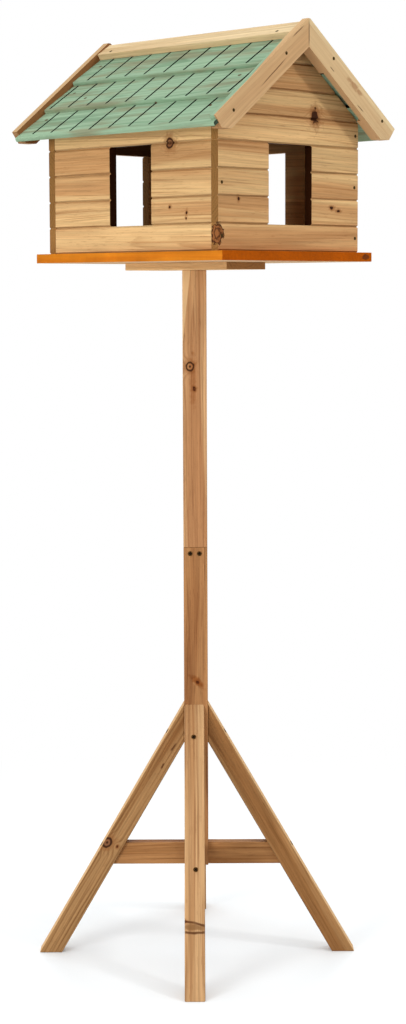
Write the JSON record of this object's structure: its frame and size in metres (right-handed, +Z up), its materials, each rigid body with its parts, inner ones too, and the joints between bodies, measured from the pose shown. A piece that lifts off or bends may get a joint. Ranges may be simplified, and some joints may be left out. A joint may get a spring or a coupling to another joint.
{
  "type": "bird feeding house on a stand",
  "caption": "Wooden bird feeding house with board walls, open windows and a green lapped roof, on a post with four braced legs.",
  "frame": {"origin": "on the ground below the middle of the house, at the bottom centre of the whole part", "axes": "+Z up, X along the ridge, the front long wall faces -Y"},
  "size_m": [0.47, 0.426, 1.5443],
  "materials": {
    "fir_wall": "planed, clear",
    "fir_trim": "planed, clear",
    "fir_stand": "planed, clear",
    "stained_base": "orange stain",
    "green_roof": "green stain"
  },
  "bodies": {
    "root": {"front_sill_board": "fir_wall", "front_left_jamb": "fir_wall", "front_right_jamb": "fir_wall", "front_head_board": "fir_wall", "rear_sill_board": "fir_wall", "rear_left_jamb": "fir_wall", "rear_right_jamb": "fir_wall", "rear_head_board": "fir_wall", "right_gable_sill_board": "fir_wall", "right_gable_left_jamb": "fir_wall", "right_gable_right_jamb": "fir_wall", "right_gable_head_board": "fir_wall", "right_gable_peak": "fir_wall", "left_gable_sill_board": "fir_wall", "left_gable_left_jamb": "fir_wall", "left_gable_right_jamb": "fir_wall", "left_gable_head_board": "fir_wall", "left_gable_peak": "fir_wall", "front_lower_course": "green_roof", "front_middle_course": "green_roof", "front_upper_course": "green_roof", "rear_lower_course": "green_roof", "rear_middle_course": "green_roof", "rear_upper_course": "green_roof", "front_ridge_board": "fir_trim", "rear_ridge_board": "fir_trim", "right_front_bargeboard": "fir_trim", "right_rear_bargeboard": "fir_trim", "left_front_bargeboard": "fir_trim", "left_rear_bargeboard": "fir_trim", "platform": "stained_base", "post_block": "fir_trim", "upper_post": "fir_stand", "lower_post": "fir_stand", "front_leg": "fir_stand", "right_leg": "fir_stand", "rear_leg": "fir_stand", "left_leg": "fir_stand", "front_brace": "fir_stand", "right_brace": "fir_stand", "rear_brace": "fir_stand", "left_brace": "fir_stand"}
  },
  "joints": []
}
